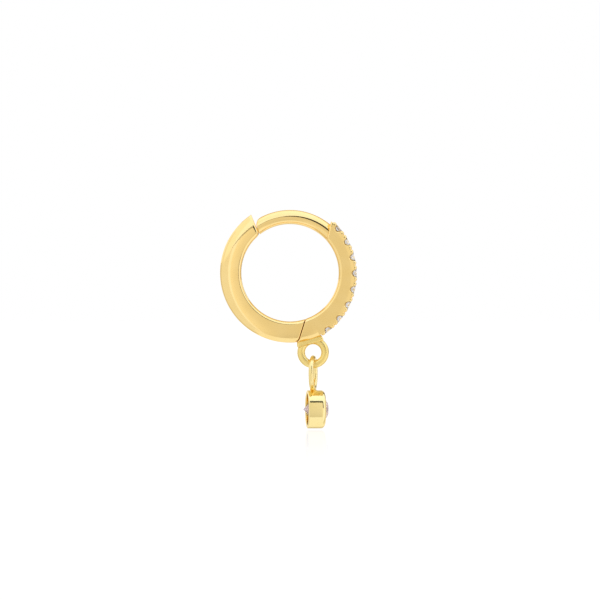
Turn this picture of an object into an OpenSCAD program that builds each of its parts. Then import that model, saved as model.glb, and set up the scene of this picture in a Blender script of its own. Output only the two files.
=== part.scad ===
// Small hinged hoop earring with a row of pave stones and a bezel charm that hangs from a fixed ring.
// Millimetres. +X is the front of the earring, +Z is up, and the hoop lies in the XZ plane.
// The origin is the centre of the ear post's section at the top of the hoop.

/* [Hoop] */
// Inside diameter of the hoop, which is the room for the ear lobe
hoop_bore = 7.3; // [7.1:0.1:8]
// Thickness of the plain half, from the inside to the outside of the hoop
plain_wall = 1.59; // [1.55:0.01:1.75]
// Width of the hoop from side to side
band_w = 1.52; // [1.48:0.01:1.7]
// Rounding of the inside edges
inner_round = 0.18; // [0.1:0.01:0.22]
// Rounding of the outside edges of the plain stretches
outer_round = 0.42; // [0.3:0.01:0.5]

/* [Ear post and catch] */
// Diameter of the round ear post
post_d = 1.06; // [0.9:0.02:1.1]
// Rounding of the outer corner of the post's end
post_end_round = 0.55; // [0.4:0.01:0.6]
// How far the catch tab reaches into the plain half
catch_depth = 0.45; // [0.3:0.05:0.6]
// Thickness of the catch tab
catch_t = 0.36; // [0.3:0.02:0.4]
// Height of the catch tab's middle above the inside of the hoop
catch_rise = 0.36; // [0.34:0.02:0.44]
// Width of the catch tab
catch_w = 0.5; // [0.4:0.05:0.7]
// Gap between the two halves where they meet
half_gap = 0.04; // [0.03:0.01:0.06]

/* [Hinge] */
// Radius of the hinge knuckle
knuckle_r = 0.6; // [0.56:0.01:0.64]
// How deep the middle of the hinge pin lies under the outside of the hoop
pin_depth = 0.55; // [0.53:0.01:0.57]
// Diameter of the hinge pin
pin_d = 0.5; // [0.4:0.02:0.56]
// Skin of metal that covers each end of the pin
pin_cover = 0.12; // [0.1:0.01:0.16]
// Width of the hinge tongue
tongue_w = 0.5; // [0.4:0.02:0.6]
// Running gap on the pin and beside the tongue
run_gap = 0.03; // [0.02:0.01:0.04]

/* [Pave row] */
// Girdle diameter of a small stone
stone_d = 1.06; // [1:0.01:1.08]
// Gap between neighbouring stones
stone_gap = 0.139; // [0.12:0.001:0.15]
// Height of the small stones' tables above the inside of the hoop, at its front
stone_rise = 1.34; // [1.3:0.02:1.38]
// Thickness of the metal under the beads
rail_wall = 1.23; // [1.2:0.01:1.25]
// Diameter of a bead
bead_d = 0.32; // [0.3:0.01:0.33]
// Distance between twin beads, centre to centre
bead_twin = 0.36; // [0.34:0.01:0.37]
// Height of the bead tips above the inside of the hoop
bead_rise = 1.38; // [1.36:0.01:1.42]
// Radius of the scallop that is cut under each stone
scallop_r = 0.25; // [0.22:0.01:0.28]

/* [Fixed ring] */
// Outside diameter of the ring that is soldered under the hoop
ring_od = 2.37; // [2.3:0.01:2.5]
// Wire diameter of that ring
ring_wire = 0.58; // [0.5:0.01:0.6]
// How far the ring is let into the hoop
ring_sink = 0.21; // [0.15:0.01:0.25]
// Thickness of the solder between the ring and the hoop
solder_t = 0.42; // [0.3:0.02:0.5]

/* [Charm] */
// Outside diameter of the hanging ring on the charm
bail_od = 2.72; // [2.6:0.02:2.9]
// Wire diameter of the hanging ring
bail_wire = 0.36; // [0.3:0.01:0.38]
// Play between the hanging ring and the fixed ring
bail_play = 0.03; // [0.02:0.01:0.05]
// How far the hanging ring is let into the top of the bezel
bail_sink = 0.1; // [0.06:0.01:0.16]
// Turn of the hanging ring about the upright line
bail_turn = -8; // [-10:1:0]
// Outside diameter of the bezel
bezel_od = 2.87; // [2.8:0.01:3.1]
// Depth of the bezel from its back rim to its front lip
bezel_depth = 1.36; // [1.3:0.01:1.42]
// Wall of the bezel at its open back
bezel_wall = 0.24; // [0.2:0.01:0.27]
// Turn of the bezel about the upright line
bezel_turn = 6; // [0:1:8]
// How far the bezel's middle is in front of the hanging ring
bezel_ahead = 0.21; // [0.1:0.01:0.3]
// Girdle diameter of the charm's stone
gem_d = 2.3; // [2.2:0.01:2.34]
// Height of the charm stone's crown
gem_crown = 0.54; // [0.48:0.01:0.56]
// Depth of the charm stone's pavilion
gem_pavilion_depth = 1.22; // [1.1:0.01:1.26]
// Radius of the opening in the bezel's front lip
lip_r = 0.88; // [0.86:0.01:0.95]

/* [Hidden] */
PAVE_COUNT = 8;
$fn = 96;

// Where the joints between the halves cross the inside and the outside of the hoop, in degrees
CATCH_IN_DEG = 128.75;
CATCH_OUT_DEG = 123.75;
HINGE_IN_DEG = -71.6;
HINGE_OUT_DEG = -83.4;
// From the hinge's inner end up to the stone row, and how far the rail runs on below the row, in degrees
HINGE_LEAD_DEG = 13;
RAIL_FOOT_DEG = 1.6;
// From the first stone to where the stone band's upper end crosses the inside and the outside, in degrees
BAND_IN_LEAD_DEG = 1.3;
BAND_OUT_LEAD_DEG = 12.8;
// How far the ear post is rooted in the stone band, in degrees
POST_ROOT_DEG = 4;
RING_DEG = -73.8;
// How far a swept stretch runs past the line that trims it, in degrees
OVERRUN_DEG = 8;
// The stone row is flatter than the hoop: its circle is larger by this, and its middle as much further
// back and a little lower, so the row rises towards the hinge
ROW_BACK = 0.41;
ROW_DROP = 0.11;
// Thickness of the front half's core, which follows the hoop, and depth of the metal that lies on it:
// the rail along the row and the plain stretch at the hinge
CORE_WALL = 1.1;
RAIL_DEPTH = 0.59;
// Depth of the beads' roots in the rail, and how far the beads stay inside the band's sides
BEAD_ROOT = 0.16;
BEAD_INSET = 0.005;
// Room for the stones in their seats and for a pin in a fixed hole
SEAT_GAP = 0.02;
PIN_GAP = 0.01;
// Length of the catch tab's root in the post, and room round the tab in its socket
CATCH_ROOT = 0.3;
CATCH_ROOM = 0.05;
// Table and girdle of the charm's stone, as shares of its girdle diameter
GEM_TABLE_SHARE = 0.44;
GEM_GIRDLE_SHARE = 0.04;
// The same for the small stones, with their crown and pavilion
STONE_TABLE_SHARE = 0.58;
STONE_CROWN_SHARE = 0.16;
STONE_GIRDLE_SHARE = 0.03;
STONE_PAVILION_SHARE = 0.43;
// Radius of the crown's middle ring, as a share of girdle radius and table radius together
CROWN_RING_SHARE = 0.52;
// Radius of the pavilion's ring, as a share of the girdle radius
PAVILION_RING_SHARE = 0.24;
// Thickness of the edge of the bezel's lip, and how far the front falls from it to the shoulder
LIP_EDGE = 0.03;
LIP_FALL = 0.1;
SHOULDER = 0.14;
// Width of the ledge that carries the charm's stone, and the bevel of the back rim
SEAT_STEP = 0.16;
RIM_EDGE = 0.06;
// Directions that bound the web of the hinge tongue, in degrees, and its reach in knuckle radii
WEB_HIGH_DEG = 8;
WEB_LOW_DEG = -62;
WEB_SHARE = 1.9;
// Directions from the joint line of the wedge that holds the joint's round stretch, in degrees
WEDGE_DEGS = [-90, -130, -170];
// Corners of the solder's outline, out from and above the ring's middle, as shares of the ring's diameter
SOLDER_LOW_SHARES = [0.47, 0.19];
SOLDER_HIGH_SHARES = [0.4, 0.47];
// How far the solder reaches inwards from the middle of the ring's wire
SOLDER_ROOT = 0.1;
// Size of the blocks that trim the ends of the two halves
TRIM = 4;

hoop_r = hoop_bore / 2;
outer_r = hoop_r + plain_wall;
post_mid_r = hoop_r + post_d / 2;

// Radii of the stone row, from the row's own middle
rail_r = hoop_r + rail_wall + ROW_BACK;
table_r = hoop_r + stone_rise + ROW_BACK;
bead_tip_r = hoop_r + bead_rise + ROW_BACK;

stone_crown = STONE_CROWN_SHARE * stone_d;
stone_girdle = STONE_GIRDLE_SHARE * stone_d;
stone_pavilion = STONE_PAVILION_SHARE * stone_d;
girdle_r = table_r - stone_crown - stone_girdle / 2;
culet_r = table_r - stone_crown - stone_girdle - stone_pavilion;
pitch_deg = deg_along(stone_d + stone_gap, girdle_r);
twin_deg = deg_along(bead_twin, girdle_r);
bead_y = band_w / 2 - bead_d / 2 - BEAD_INSET;
bead_foot_r = rail_r - BEAD_ROOT;
// The row starts at the hinge, so larger stones make the band longer at its upper end
row_end_deg = HINGE_IN_DEG + HINGE_LEAD_DEG;
first_stone_deg = row_end_deg + (PAVE_COUNT - 0.5) * pitch_deg;
rail_foot = rail_r * unit(row_end_deg - RAIL_FOOT_DEG) - [ROW_BACK, ROW_DROP];
plain_top_deg = direction([0, 0], rail_foot);
band_in_deg = first_stone_deg + BAND_IN_LEAD_DEG;
band_out_deg = first_stone_deg + BAND_OUT_LEAD_DEG;

catch_in = polar(hoop_r, CATCH_IN_DEG);
catch_out = polar(outer_r, CATCH_OUT_DEG);
catch_dir = direction(catch_in, catch_out);
hinge_in = polar(hoop_r, HINGE_IN_DEG);
hinge_out = polar(outer_r, HINGE_OUT_DEG);
hinge_dir = direction(hinge_out, hinge_in);
band_in = polar(hoop_r, band_in_deg);
band_out = polar(outer_r, band_out_deg);
band_dir = direction(band_in, band_out);

// The pin lies a knuckle radius behind the hinge's joint line and pin_depth under the outside
pin_start = hinge_in + knuckle_r * unit(hinge_dir + 90);
pin_slide = slide_to_radius(pin_start, -unit(hinge_dir), outer_r - pin_depth);
pin_at = pin_start - pin_slide * unit(hinge_dir);
pin_len = band_w - 2 * pin_cover;

// The catch tab follows a circle round the pin, so it leaves its socket as the hinge opens
catch_mid = catch_in + catch_rise / plain_wall * (catch_out - catch_in);
catch_swing_r = norm(catch_mid - pin_at);
catch_swing_deg = direction(pin_at, catch_mid);

ring_r = (ring_od - ring_wire) / 2;
ring_at = polar(outer_r + ring_od / 2 - ring_sink, RING_DEG);
bail_r = (bail_od - bail_wire) / 2;
bail_top = ring_at[1] - ring_r + ring_wire / 2 + bail_play + bail_wire / 2;
bail_z = bail_top - bail_r;
bezel_z = bail_z - bail_od / 2 + bail_sink - bezel_od / 2;
gem_r = gem_d / 2;
gem_girdle = GEM_GIRDLE_SHARE * gem_d;
gem_table_r = GEM_TABLE_SHARE * gem_r;
gem_crown_r = CROWN_RING_SHARE * (gem_r + gem_table_r);
// The lip lies on the crown, so the stone's height in the bezel follows from it
crown_slope = gem_crown * (gem_r - gem_crown_r * cos(22.5)) / (gem_r - gem_table_r) / (gem_r - gem_crown_r);
gem_top_z = bezel_depth - LIP_EDGE - SEAT_GAP - crown_slope * (gem_r - lip_r);
gem_low_z = gem_top_z - gem_girdle;

function unit(a) = [cos(a), sin(a)];
function polar(r, a) = r * unit(a);
function direction(p, q) = atan2(q[1] - p[1], q[0] - p[0]);
function deg_along(length, r) = length / r * 180 / PI;
// Distance along unit vector d at which a point that starts at p reaches radius r
function slide_to_radius(p, d, r) = -(p * d) + sqrt(pow(p * d, 2) - p * p + r * r);

// Places children, drawn round the hoop's middle, in the frame of the earring
module at_hoop() { translate([0, 0, -post_mid_r]) children(); }
// Places children, drawn round the stone row's middle, in the frame of the hoop
module at_row() { translate([-ROW_BACK, 0, -ROW_DROP]) children(); }
// Extrudes a flat shape of the hoop's plane to width w across the hoop
module across(w) { rotate([90, 0, 0]) linear_extrude(w, center = true) children(); }
// Turns a section, drawn at its radius, round the hoop from angle a to angle b
module sweep(a, b) { rotate([90, 0, 0]) rotate([0, 0, a]) rotate_extrude(angle = b - a) children(); }
// Puts children at radius r in direction a of the hoop, with their +Z pointing outwards
module on_hoop(r, a) { rotate([0, -a, 0]) translate([r, 0, 0]) rotate([0, 90, 0]) children(); }
// A square block on the left of the line through p in direction a
module left_of(p, a) { translate(p) rotate(a) translate([-TRIM / 2, 0]) square(TRIM); }

// Section of the hoop from radius r1 to r2, with its inside corners rounded
module core_section(r1, r2, round_in) {
  half = band_w / 2;
  translate([r1 + round_in, -half]) square([r2 - r1 - round_in, band_w]);
  translate([r1, -half + round_in]) square([round_in, band_w - 2 * round_in]);
  for (s = [-1, 1]) translate([r1 + round_in, s * (half - round_in)]) circle(round_in);
}

// Outside edge of a section that reaches radius r, with rounded corners
module outside_edge(r, round_out) {
  half = band_w / 2;
  translate([r - round_out, -half + round_out]) square([round_out, band_w - 2 * round_out]);
  for (s = [-1, 1]) translate([r - round_out, s * (half - round_out)]) circle(round_out);
}

// Wedge at the pin that holds the round stretch of the joint line
module knuckle_wedge() {
  polygon([pin_at, for (a = WEDGE_DEGS) pin_at + TRIM * unit(hinge_dir + a)]);
}

// The joint line between the halves at the hinge: straight inside, round the pin outside
module front_side_of_hinge() {
  left_of((hinge_in + hinge_out) / 2, hinge_dir + 180);
  difference() {
    knuckle_wedge();
    translate(pin_at) circle(knuckle_r);
  }
}

module back_side_of_hinge(gap) {
  difference() {
    left_of((hinge_in + hinge_out) / 2 - gap * unit(hinge_dir + 90), hinge_dir);
    difference() {
      knuckle_wedge();
      translate(pin_at) circle(knuckle_r + gap);
    }
  }
}

// Outline of the hinge tongue and the web that carries it
module tongue_outline(gap) {
  translate(pin_at) circle(knuckle_r + gap);
  polygon([pin_at + gap * unit(WEB_HIGH_DEG + 90),
    for (a = [WEB_HIGH_DEG, (WEB_HIGH_DEG + WEB_LOW_DEG) / 2, WEB_LOW_DEG])
      pin_at + WEB_SHARE * knuckle_r * unit(a) + gap * unit(WEB_HIGH_DEG + 90)]);
}

// Ring segment round the pin that makes the catch tab, or with room the socket for it
module catch_sweep(room) {
  back_deg = deg_along(catch_depth + 2 * room, catch_swing_r);
  front_deg = deg_along(CATCH_ROOT, catch_swing_r);
  translate([pin_at[0], 0, pin_at[1]])
    sweep(catch_swing_deg - front_deg, catch_swing_deg + back_deg)
      translate([catch_swing_r, 0]) square([catch_t + 2 * room, catch_w + 2 * room], center = true);
}

// Bead with a ball tip, whose top is at radius bead_tip_r
module bead() {
  r = bead_d / 2;
  rise = bead_tip_r - r - bead_foot_r;
  rotate_extrude() {
    square([r, rise]);
    translate([0, rise]) intersection() {
      circle(r);
      square(r);
    }
  }
}

module bead_pair(a) {
  for (s = [-1, 1])
    on_hoop(bead_foot_r, a) translate([0, s * bead_y, 0]) bead();
}

module ear_post() {
  trim = (catch_in + catch_out) / 2;
  corner = catch_in + (post_d / plain_wall) * (catch_out - catch_in);
  difference() {
    sweep(band_in_deg - POST_ROOT_DEG, CATCH_IN_DEG + OVERRUN_DEG)
      translate([post_mid_r, 0]) circle(post_d / 2);
    across(2 * band_w) left_of(trim - half_gap * unit(catch_dir + 90), catch_dir);
    across(2 * band_w) translate(corner) rotate(catch_dir + 180) difference() {
      translate([-post_d, -post_d]) square(post_d + post_end_round);
      translate([post_end_round, post_end_round + half_gap]) circle(post_end_round);
    }
  }
}

// Rail that follows the row and ends on the upper face of the plain metal at the hinge
module rail() {
  difference() {
    at_row() sweep(row_end_deg - OVERRUN_DEG, band_out_deg + OVERRUN_DEG)
      translate([rail_r - RAIL_DEPTH, -band_w / 2]) square([RAIL_DEPTH, band_w]);
    across(2 * band_w) left_of(polar(outer_r, plain_top_deg), plain_top_deg + 180);
  }
}

// Full thickness of the plain stretch between the row and the hinge
module plain_stretch() {
  sweep(HINGE_OUT_DEG - OVERRUN_DEG, plain_top_deg) {
    translate([outer_r - RAIL_DEPTH, -band_w / 2]) square([RAIL_DEPTH - outer_round, band_w]);
    outside_edge(outer_r, outer_round);
  }
}

// Metal of the front half without its post: a core round the hoop with the rail and the plain stretch
// on it, ended by the collar's slanted face and by the joint line of the hinge
module plain_band() {
  difference() {
    union() {
      sweep(HINGE_OUT_DEG - OVERRUN_DEG, band_out_deg + OVERRUN_DEG)
        core_section(hoop_r, hoop_r + CORE_WALL, inner_round);
      rail();
      plain_stretch();
    }
    across(2 * band_w) left_of((band_in + band_out) / 2, band_dir);
    across(2 * band_w) back_side_of_hinge(half_gap);
  }
}

// Ear post and stone band, with a scallop and a seat for each stone cut into them
module pave_band() {
  difference() {
    union() {
      ear_post();
      plain_band();
    }
    at_row() for (i = [0 : PAVE_COUNT - 1]) {
      a = first_stone_deg - i * pitch_deg;
      on_hoop(rail_r, a) rotate([90, 0, 0]) cylinder(r = scallop_r, h = 2 * band_w, center = true);
      on_hoop(culet_r - SEAT_GAP, a) {
        cylinder(r1 = SEAT_GAP, r2 = stone_d / 2 + SEAT_GAP, h = stone_pavilion + SEAT_GAP);
        translate([0, 0, stone_pavilion + SEAT_GAP])
          cylinder(r = stone_d / 2 + SEAT_GAP, h = stone_girdle + stone_crown);
      }
    }
  }
}

module beads() {
  at_row() for (i = [0 : PAVE_COUNT - 1]) for (s = [-1, 1])
    bead_pair(first_stone_deg - i * pitch_deg + s * (pitch_deg - twin_deg) / 2);
}

module hinge_tongue() {
  difference() {
    across(tongue_w) intersection() {
      tongue_outline(0);
      circle(outer_r - run_gap);
    }
    translate([pin_at[0], 0, pin_at[1]]) rotate([90, 0, 0])
      cylinder(r = pin_d / 2 + run_gap, h = 2 * band_w, center = true);
  }
}

module fixed_ring() {
  low = ring_od * SOLDER_LOW_SHARES;
  high = ring_od * SOLDER_HIGH_SHARES;
  translate([ring_at[0], 0, ring_at[1]]) {
    rotate([90, 0, 0]) rotate_extrude() translate([ring_r, 0]) circle(ring_wire / 2);
    // Solder that fills the corners between the ring and the hoop
    across(solder_t) rotate(RING_DEG + 90) difference() {
      polygon([[-low[0], low[1]], low, high, [-high[0], high[1]]]);
      circle(ring_r - SOLDER_ROOT);
    }
  }
}

module front_half() {
  color("gold") at_hoop() {
    pave_band();
    catch_sweep(0);
    beads();
    hinge_tongue();
    fixed_ring();
  }
}

module back_half() {
  color("goldenrod") at_hoop() difference() {
    sweep(CATCH_OUT_DEG - OVERRUN_DEG, HINGE_IN_DEG + 360 + OVERRUN_DEG) {
      core_section(hoop_r, outer_r - outer_round, inner_round);
      outside_edge(outer_r, outer_round);
    }
    across(2 * band_w) left_of((catch_in + catch_out) / 2, catch_dir + 180);
    across(2 * band_w) front_side_of_hinge();
    across(tongue_w + 2 * run_gap) tongue_outline(half_gap);
    translate([pin_at[0], 0, pin_at[1]]) rotate([90, 0, 0])
      cylinder(r = pin_d / 2 + PIN_GAP, h = pin_len + 2 * PIN_GAP, center = true);
    catch_sweep(CATCH_ROOM);
  }
}

module hinge_pin() {
  color("darkgoldenrod") at_hoop() translate([pin_at[0], 0, pin_at[1]]) rotate([90, 0, 0])
    cylinder(r = pin_d / 2, h = pin_len, center = true);
}

// Round brilliant along +Z with its girdle's middle at the origin. Its corners lie on rings, from the top:
// table, crown, girdle top, girdle bottom and pavilion, and then the culet
module brilliant(d, crown, girdle, pavilion, table) {
  r = d / 2;
  tr = table * r;
  g = girdle / 2;
  cr = CROWN_RING_SHARE * (r + tr);
  pr = PAVILION_RING_SHARE * r;
  crown_z = g + crown * (r - cr * cos(22.5)) / (r - tr);
  pav_z = -g - pavilion * (1 - pr * cos(22.5) / r);
  points = concat(
    [for (k = [0 : 7]) [tr * cos(45 * k), tr * sin(45 * k), g + crown]],
    [for (k = [0 : 7]) [cr * cos(45 * k + 22.5), cr * sin(45 * k + 22.5), crown_z]],
    [for (k = [0 : 15]) [r * cos(22.5 * k), r * sin(22.5 * k), g]],
    [for (k = [0 : 15]) [r * cos(22.5 * k), r * sin(22.5 * k), -g]],
    [for (k = [0 : 7]) [pr * cos(45 * k + 22.5), pr * sin(45 * k + 22.5), pav_z]],
    [[0, 0, -g - pavilion]]);
  crown_at = 8;
  top_at = 16;
  low_at = 32;
  pav_at = 48;
  culet_at = 56;
  stars = [for (k = [0 : 7]) [k, crown_at + k, (k + 1) % 8]];
  kites = [for (k = [0 : 7]) [k, crown_at + (k + 7) % 8, top_at + 2 * k, crown_at + k]];
  upper = [for (k = [0 : 7]) each [
    [crown_at + k, top_at + 2 * k, top_at + 2 * k + 1],
    [crown_at + k, top_at + 2 * k + 1, top_at + (2 * k + 2) % 16]]];
  wall = [for (k = [0 : 15]) [top_at + k, low_at + k, low_at + (k + 1) % 16, top_at + (k + 1) % 16]];
  lower = [for (k = [0 : 7]) each [
    [pav_at + k, low_at + 2 * k + 1, low_at + 2 * k],
    [pav_at + k, low_at + (2 * k + 2) % 16, low_at + 2 * k + 1]]];
  mains = [for (k = [0 : 7]) [culet_at, pav_at + k, low_at + 2 * k, pav_at + (k + 7) % 8]];
  table_face = [[for (k = [0 : 7]) k]];
  // Listed counterclockwise from outside, so each face is turned round for the polyhedron
  faces = concat(table_face, stars, kites, upper, wall, lower, mains);
  polyhedron(points = points, faces = [for (f = faces) [for (i = [len(f) - 1 : -1 : 0]) f[i]]]);
}

module pave_stone(i) {
  color("azure") at_hoop() at_row()
    on_hoop(girdle_r, first_stone_deg - (i - 1) * pitch_deg)
      brilliant(stone_d, stone_crown, stone_girdle, stone_pavilion, STONE_TABLE_SHARE);
}

// Puts children in the bezel's frame: +Z along its axis to the front, origin in its back plane
module at_bezel() {
  at_hoop() translate([ring_at[0], 0, bezel_z]) rotate([0, 0, bezel_turn])
    translate([bezel_ahead - bezel_depth / 2, 0, 0]) rotate([0, 90, 0]) children();
}

// Half section of the bezel cup: tube, seat for the stone and lip pressed over the crown
module bezel_section() {
  r = bezel_od / 2;
  inside = r - bezel_wall;
  bore = gem_r + SEAT_GAP;
  lip_low = gem_top_z + SEAT_GAP - crown_slope * SEAT_GAP;
  seat_r = gem_r - SEAT_STEP;
  seat_top = gem_low_z - SEAT_GAP;
  seat_low = seat_top - (bore - seat_r) * gem_pavilion_depth / gem_r;
  shoulder_z = bezel_depth - LIP_FALL - SHOULDER;
  polygon([
    [inside, RIM_EDGE], [inside + RIM_EDGE, 0], [r - RIM_EDGE, 0], [r, RIM_EDGE],
    [r, shoulder_z],
    for (a = [10 : 10 : 80]) [r - SHOULDER * (1 - cos(a)), shoulder_z + SHOULDER * sin(a)],
    [lip_r + 2 * LIP_EDGE, bezel_depth], [lip_r, bezel_depth - LIP_EDGE],
    [bore, lip_low], [bore, seat_top],
    [seat_r, seat_low], [seat_r, seat_low - SEAT_STEP],
    [inside, seat_low - SEAT_STEP - (inside - seat_r) / 2]]);
}

module charm_bezel() {
  color("gold") {
    at_bezel() rotate_extrude() bezel_section();
    at_hoop() translate([ring_at[0], 0, bail_z]) rotate([0, 0, bail_turn]) rotate([0, 90, 0])
      rotate_extrude() translate([bail_r, 0]) circle(bail_wire / 2);
  }
}

module charm_stone() {
  color("pink") at_bezel() translate([0, 0, gem_top_z - gem_girdle / 2])
    brilliant(gem_d, gem_crown, gem_girdle, gem_pavilion_depth, GEM_TABLE_SHARE);
}

front_half();
back_half();
hinge_pin();
charm_bezel();
charm_stone();
pave_stone(1);  // pave_stone_1
pave_stone(2);  // pave_stone_2
pave_stone(3);  // pave_stone_3
pave_stone(4);  // pave_stone_4
pave_stone(5);  // pave_stone_5
pave_stone(6);  // pave_stone_6
pave_stone(7);  // pave_stone_7
pave_stone(8);  // pave_stone_8
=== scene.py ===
import math

import bmesh
import bpy
from mathutils import Matrix, Vector


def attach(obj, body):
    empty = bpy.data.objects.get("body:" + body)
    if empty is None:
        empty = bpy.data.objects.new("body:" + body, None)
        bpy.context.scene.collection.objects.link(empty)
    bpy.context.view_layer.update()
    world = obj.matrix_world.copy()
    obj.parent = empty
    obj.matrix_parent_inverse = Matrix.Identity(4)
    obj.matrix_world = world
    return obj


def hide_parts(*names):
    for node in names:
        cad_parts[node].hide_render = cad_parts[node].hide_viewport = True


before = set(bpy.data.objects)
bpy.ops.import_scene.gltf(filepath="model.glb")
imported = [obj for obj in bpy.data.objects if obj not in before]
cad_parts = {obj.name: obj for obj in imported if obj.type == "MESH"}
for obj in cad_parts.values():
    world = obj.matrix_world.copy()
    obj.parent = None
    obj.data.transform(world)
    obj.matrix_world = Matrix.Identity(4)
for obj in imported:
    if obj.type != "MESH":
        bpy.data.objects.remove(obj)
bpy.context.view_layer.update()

# %% [markdown]
# # A small hinged hoop earring with a charm
# The real object is cast and soldered from yellow gold and polished until it mirrors the room. Two
# half hoops meet at a hinge and at a catch, small clear stones sit in the front half, and a pink
# stone in a round cup swings from a fixed ring. Polished metal shows nothing but reflections, so
# smooth, evenly spaced surfaces matter more here than a picture on them. The CAD model gives the
# places and the moving bodies, and this script dresses it. Everything is modelled in millimetres,
# because the whole earring is only 16 mm long, and is shrunk to metres when a piece is finished.

# %% Sizes in millimetres
MM = 0.001
HOOP_CENTRE = Vector((0, 0, -4.18))
HOOP_R, OUTER_R, BAND_W = 3.65, 5.24, 1.52
HALF_GAP, SEAM = 0.04, 0.012

# %% [markdown]
# ## Finding points on the hoop
# Nearly all the metal follows the hoop's circle, so a place is easiest to say as a radius and an
# angle. Angle 0 points to the front of the earring and 90 points up.

# %% Polar helpers
def unit(deg):
    return Vector((math.cos(math.radians(deg)), 0, math.sin(math.radians(deg))))


def polar(radius, deg, y=0.0):
    return HOOP_CENTRE + radius * unit(deg) + Vector((0, y, 0))


def radius_and_angle(co):
    flat = co - HOOP_CENTRE
    return math.hypot(flat.x, flat.z), math.degrees(math.atan2(flat.z, flat.x))


def line_angle(radius, inner_deg, outer_deg):
    """Angle at which the line from the inside to the outside of the hoop has this radius."""
    p, q = HOOP_R * unit(inner_deg), OUTER_R * unit(outer_deg)
    d = (q - p).normalized()
    along = -p.dot(d) + math.sqrt(max(p.dot(d) ** 2 - p.length_squared + radius ** 2, 0))
    hit = p + along * d
    return math.degrees(math.atan2(hit.z, hit.x))


# %% [markdown]
# ## Finishing a piece
# Each piece is closed, its doubled points are merged and its faces are turned outwards. Smooth
# shading would smear a reflection over a real edge, so edges sharper than a set angle stay sharp.

# %% Finish helpers
SHARP = 38


def to_object(bm, name):
    """Turns a bmesh, drawn in metres, into an object of the scene."""
    mesh = bpy.data.meshes.new(name)
    bm.to_mesh(mesh)
    bm.free()
    obj = bpy.data.objects.new(name, mesh)
    bpy.context.scene.collection.objects.link(obj)
    return obj


def soften(mesh, sharp):
    mesh.polygons.foreach_set("use_smooth", [True] * len(mesh.polygons))
    mesh.set_sharp_from_angle(angle=math.radians(sharp))


def put(bm, name, body, material, sharp=SHARP):
    """Makes a finished piece of a bmesh, drawn in millimetres, and lets it ride on its body."""
    bmesh.ops.remove_doubles(bm, verts=bm.verts, dist=0.0005)
    bmesh.ops.recalc_face_normals(bm, faces=bm.faces)
    bmesh.ops.scale(bm, vec=(MM, MM, MM), verts=bm.verts)
    obj = to_object(bm, name)
    obj.data.materials.append(material)
    soften(obj.data, sharp)
    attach(obj, body)
    print(name, "has", len(obj.data.polygons), "faces")
    return obj


def cut_away(obj, cutter):
    """Takes the closed shape in the bmesh cutter, drawn in millimetres, out of obj."""
    bmesh.ops.recalc_face_normals(cutter, faces=cutter.faces)
    bmesh.ops.scale(cutter, vec=(MM, MM, MM), verts=cutter.verts)
    tool = to_object(cutter, "cutter")
    step = obj.modifiers.new("cut", "BOOLEAN")
    step.operation, step.solver, step.object = "DIFFERENCE", "EXACT", tool
    bpy.context.view_layer.update()
    done = obj.evaluated_get(bpy.context.evaluated_depsgraph_get())
    mesh = bpy.data.meshes.new_from_object(done)
    obj.modifiers.clear()
    obj.data = mesh
    bpy.data.objects.remove(tool)
    soften(mesh, SHARP)


# %% [markdown]
# ## Finishes
# The gold is a 14 carat yellow: its red is almost fully mirrored and its blue hardly. Polishing
# leaves faint waves and hair-fine marks, so noise moves the roughness a little and a very low bump
# breaks the reflections. The beads are pressed with a tool, the hanging ring is drawn wire and the
# solder is only brushed, so they are rougher. The charm is made of a paler alloy than the hoop, and
# the fixed ring with its solder of a greener one. The stones are glass-like solids with a high
# index, and the pink one scatters a little of its light.

# %% Node helpers
def node_tree(owner):
    """Gives a material or the world its nodes, and returns them with their links."""
    owner.use_nodes = True
    return owner.node_tree.nodes, owner.node_tree.links


def add_node(nodes, kind, values=None, **settings):
    """Adds a shader node; values go to its inputs, and settings to the node itself."""
    node = nodes.new("ShaderNode" + kind)
    for key, value in (values or {}).items():
        node.inputs[key].default_value = value
    for key, value in settings.items():
        setattr(node, key, value)
    return node


def add_tint(nodes, low, high, margin):
    """A ramp from one colour to another, whose ends lie this margin inside 0 and 1."""
    ramp = add_node(nodes, "ValToRGB")
    first, last = ramp.color_ramp.elements
    first.position, last.position = margin, 1 - margin
    first.color, last.color = low, high
    return ramp


# %% Gold
SWELL_HEIGHT, MARK_HEIGHT = 0.00002, 0.000004


def gold(name, alloy, roughness, swell, marks):
    """Gold whose reflections are bent by a broad swell and by fine marks, each of this strength."""
    mat = bpy.data.materials.new(name)
    nodes, links = node_tree(mat)
    shader = nodes["Principled BSDF"]
    shader.inputs["Metallic"].default_value = 1.0
    shader.inputs["Specular Tint"].default_value = (1.0, 0.93, 0.78, 1.0)
    place = add_node(nodes, "TexCoord")
    waves = add_node(nodes, "TexNoise", {"Scale": 900, "Detail": 2})
    fine = add_node(nodes, "TexNoise", {"Scale": 9000, "Detail": 4})
    tint = add_tint(nodes, *alloy, 0.3)
    rough = add_node(nodes, "MapRange", {"To Min": roughness * 0.75, "To Max": roughness * 1.3})
    broad = add_node(nodes, "Bump", {"Strength": swell, "Distance": SWELL_HEIGHT})
    hair = add_node(nodes, "Bump", {"Strength": marks, "Distance": MARK_HEIGHT})
    for texture in (waves, fine):
        links.new(place.outputs["Object"], texture.inputs["Vector"])
    links.new(waves.outputs["Fac"], tint.inputs["Fac"])
    links.new(tint.outputs["Color"], shader.inputs["Base Color"])
    links.new(fine.outputs["Fac"], rough.inputs["Value"])
    links.new(rough.outputs["Result"], shader.inputs["Roughness"])
    links.new(waves.outputs["Fac"], broad.inputs["Height"])
    links.new(fine.outputs["Fac"], hair.inputs["Height"])
    links.new(broad.outputs["Normal"], hair.inputs["Normal"])
    links.new(hair.outputs["Normal"], shader.inputs["Normal"])
    return mat


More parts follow.
